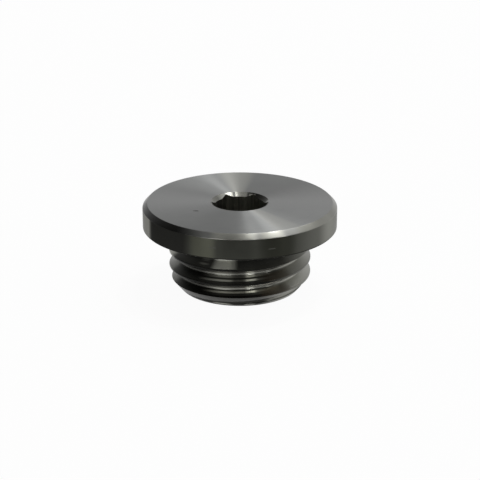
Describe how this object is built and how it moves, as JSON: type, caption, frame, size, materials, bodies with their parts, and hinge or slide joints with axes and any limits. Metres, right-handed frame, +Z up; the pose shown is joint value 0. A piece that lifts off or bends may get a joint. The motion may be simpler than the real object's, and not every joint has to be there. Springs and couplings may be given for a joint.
{
  "type": "hex socket plug",
  "caption": "Low steel screw plug with a round collar, a 4.8 mm (3/16 in) hexagon socket and a short M14 x 1.5 thread, standing on its threaded end.",
  "frame": {"origin": "centre of the flat end face of the threaded shank, on the plug's axis", "axes": "+Z up the plug's axis, from the threaded end through the collar to the mouth of the hexagon socket; two corners of the hexagon lie on the X axis"},
  "size_m": [0.019, 0.019, 0.0086],
  "materials": {
    "turned_steel": "fine turned, bright"
  },
  "bodies": {
    "root": {"plug_body": "turned_steel"}
  },
  "joints": []
}
